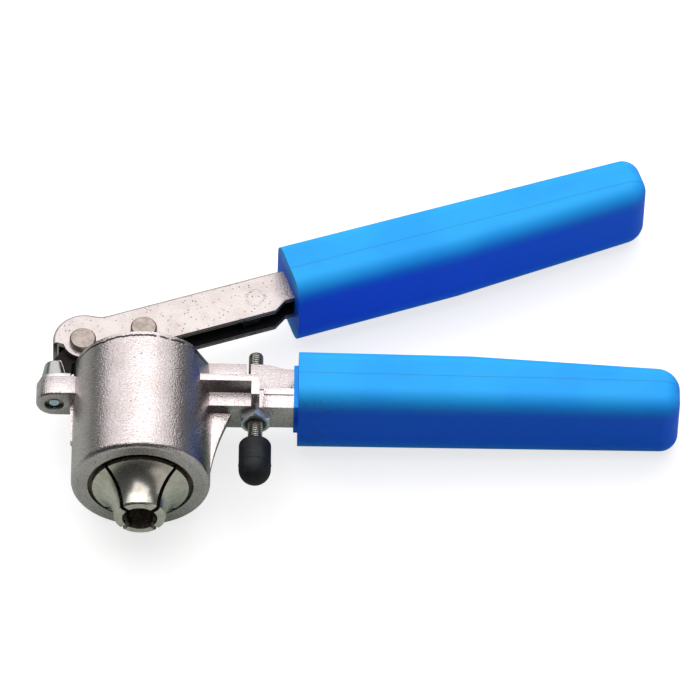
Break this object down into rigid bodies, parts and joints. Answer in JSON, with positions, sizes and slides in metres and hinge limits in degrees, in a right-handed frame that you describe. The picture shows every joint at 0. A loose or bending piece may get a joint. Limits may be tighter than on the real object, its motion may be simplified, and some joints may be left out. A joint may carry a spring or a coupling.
{
  "type": "vial crimper",
  "caption": "Hand-held crimper with two blue-gripped handles, a cylindrical head with spreading jaws and a stop screw; it crimps aluminium seals on vials.",
  "frame": {"origin": "centre of the jaw mouth at the jaw tips, on the crimping axis", "axes": "+X along the fixed lower handle, +Y up the head's axis from the jaw tips towards the lever, +Z the normal of the plane of both handles"},
  "size_m": [0.218, 0.148, 0.047],
  "materials": {
    "cast_nickel": "grainy blasted casting with satin nickel plate",
    "turned_steel": "turned, lightly oiled",
    "polished_chrome": "polished",
    "ring_rubber": "smooth",
    "spring_steel": "drawn wire",
    "plated_sheet": "satin nickel plate with fine specks",
    "satin_pin": "satin, a little tarnished",
    "grip_blue": "smooth moulded vinyl with a soft sheen",
    "plated_plate": "dull zinc plate",
    "zinc_stud": "bluish bright zinc",
    "screw_steel": "bright zinc plate",
    "cap_rubber": "matt moulded rubber"
  },
  "bodies": {
    "frame": {"head_body": "cast_nickel", "handle_arm": "cast_nickel", "fulcrum_lug": "cast_nickel", "guide_cap": "turned_steel", "jaw_seat_ring": "polished_chrome", "jaw_retainer_ring": "turned_steel", "jaw_return_ring": "ring_rubber", "spring_seat": "turned_steel", "return_spring": "spring_steel", "lower_grip": "grip_blue", "bracket_plate": "plated_plate", "fulcrum_bracket": "polished_chrome", "fulcrum_stud": "zinc_stud"},
    "lever": {"lever_channel": "plated_sheet", "stop_block": "turned_steel", "fulcrum_pin": "satin_pin", "plunger_pin": "satin_pin", "upper_grip": "grip_blue"},
    "plunger": {"plunger_rod": "turned_steel", "jaw_cone": "turned_steel", "anvil": "turned_steel"},
    "jaw_upper": {"jaw_upper": "polished_chrome"},
    "jaw_right": {"jaw_right": "polished_chrome"},
    "jaw_lower": {"jaw_lower": "polished_chrome"},
    "jaw_left": {"jaw_left": "polished_chrome"},
    "stop_screw": {"stop_screw": "screw_steel", "stop_screw_cap": "cap_rubber"},
    "lock_nut": {"stop_lock_nut": "screw_steel"}
  },
  "joints": [
    {"name": "lever_hinge", "type": "hinge", "parent": "frame", "child": "lever", "pos_m": [-0.0206, 0.0697, 0], "axis": [0, 0, -1], "range_deg": [0, 14], "stiffness_Nm_per_rad": 2.2, "springref_deg": -14.32},
    {"name": "plunger_slide", "type": "slide", "parent": "frame", "child": "plunger", "axis": [0, -1, 0], "range_m": [0, 0.00515], "deforming": ["return_spring"]},
    {"name": "jaw_upper_hinge", "type": "hinge", "parent": "frame", "child": "jaw_upper", "pos_m": [0, 0.0162, 0.014], "axis": [1, 0, 0], "range_deg": [0, 4.1], "deforming": ["jaw_return_ring"]},
    {"name": "jaw_right_hinge", "type": "hinge", "parent": "frame", "child": "jaw_right", "pos_m": [0.014, 0.0162, 0], "axis": [0, 0, -1], "range_deg": [0, 4.1], "deforming": ["jaw_return_ring"]},
    {"name": "jaw_lower_hinge", "type": "hinge", "parent": "frame", "child": "jaw_lower", "pos_m": [0, 0.0162, -0.014], "axis": [-1, 0, 0], "range_deg": [0, 4.1], "deforming": ["jaw_return_ring"]},
    {"name": "jaw_left_hinge", "type": "hinge", "parent": "frame", "child": "jaw_left", "pos_m": [-0.014, 0.0162, 0], "axis": [0, 0, 1], "range_deg": [0, 4.1], "deforming": ["jaw_return_ring"]},
    {"name": "stop_screw_travel", "type": "slide", "parent": "frame", "child": "stop_screw", "axis": [0, -1, 0], "range_m": [0, 0.004]},
    {"name": "lock_nut_turn", "type": "hinge", "parent": "frame", "child": "lock_nut", "pos_m": [0.0384, 0.0417, 0], "axis": [0, -1, 0], "continuous": true}
  ],
  "couplings": [
    {"joint": "plunger_slide", "follows": "lever_hinge", "m_per_rad": 0.02104},
    {"joint": "jaw_upper_hinge", "follows": "lever_hinge", "ratio": 0.29285},
    {"joint": "jaw_right_hinge", "follows": "lever_hinge", "ratio": 0.29285},
    {"joint": "jaw_lower_hinge", "follows": "lever_hinge", "ratio": 0.29285},
    {"joint": "jaw_left_hinge", "follows": "lever_hinge", "ratio": 0.29285}
  ]
}
